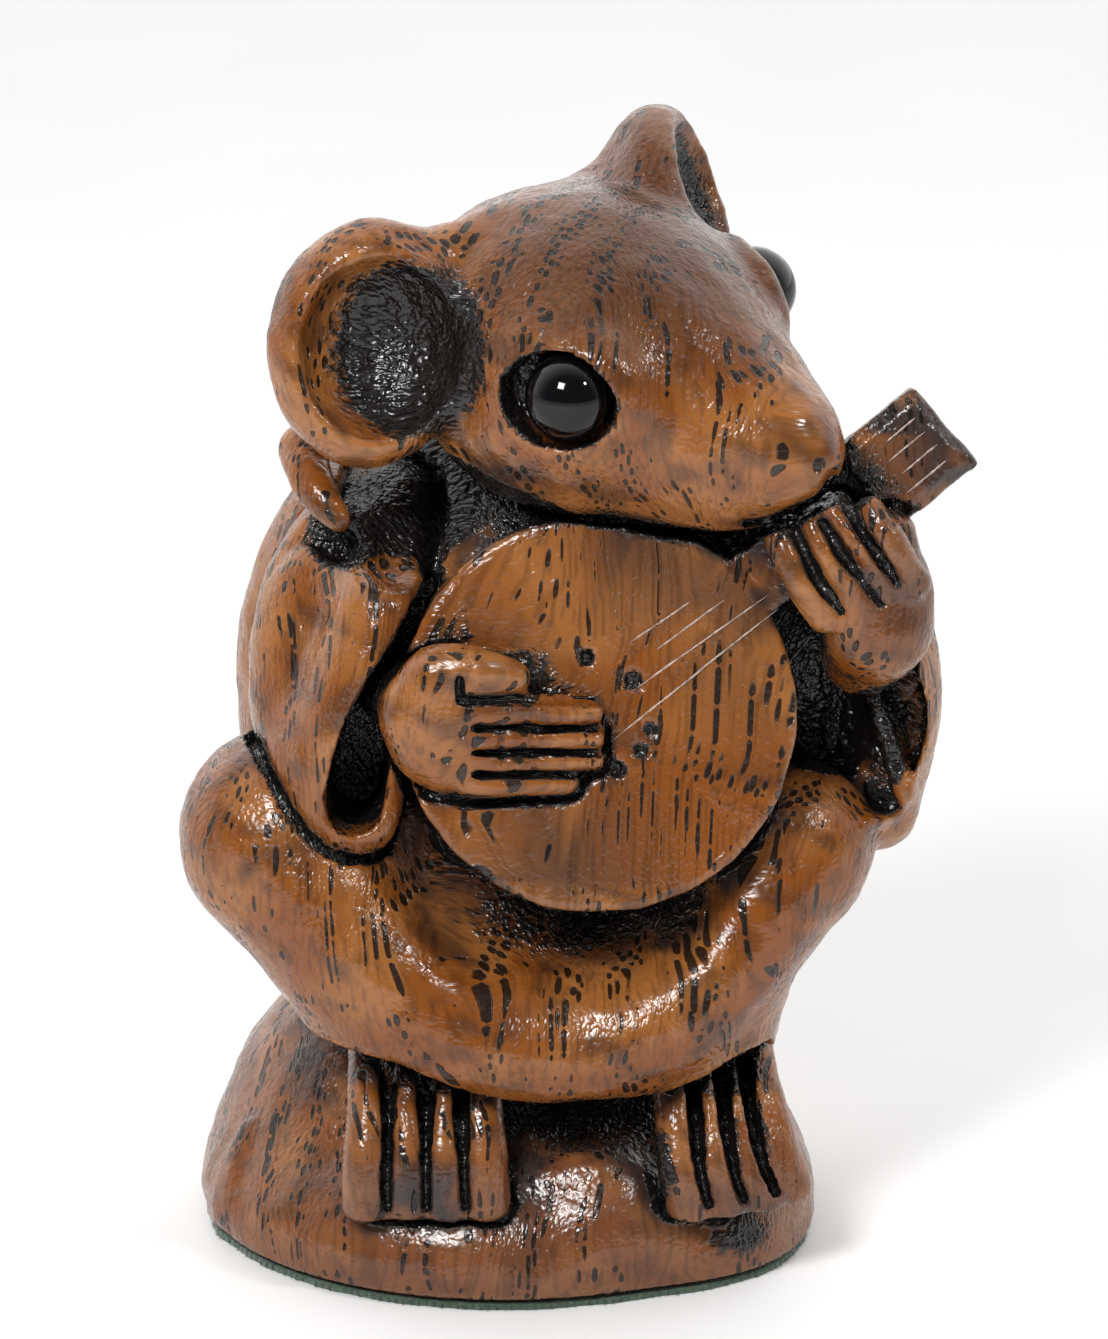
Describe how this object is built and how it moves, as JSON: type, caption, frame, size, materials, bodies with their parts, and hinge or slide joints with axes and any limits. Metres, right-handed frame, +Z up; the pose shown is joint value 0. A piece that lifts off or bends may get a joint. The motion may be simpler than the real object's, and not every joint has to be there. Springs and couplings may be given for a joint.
{
  "type": "carved mouse figurine",
  "caption": "Small carved wooden mouse in a wide-sleeved robe, seated on a rounded rock and playing a round lute, with black glass eyes and a felt pad under the rock.",
  "frame": {"origin": "centre of the rock's underside, on the felt pad's lower face", "axes": "+Z up through the mouse; the mouse's knees and the lute's face look along -Y, and its snout points between +X and -Y"},
  "size_m": [0.0521, 0.0356, 0.0758],
  "materials": {
    "carved_wood": "stained and waxed, semi-gloss, dark in the recesses",
    "black_glass": "gloss black",
    "green_felt": "matt felt"
  },
  "bodies": {
    "root": {"carving": "carved_wood", "eye_left": "black_glass", "eye_right": "black_glass", "felt_pad": "green_felt"}
  },
  "joints": []
}
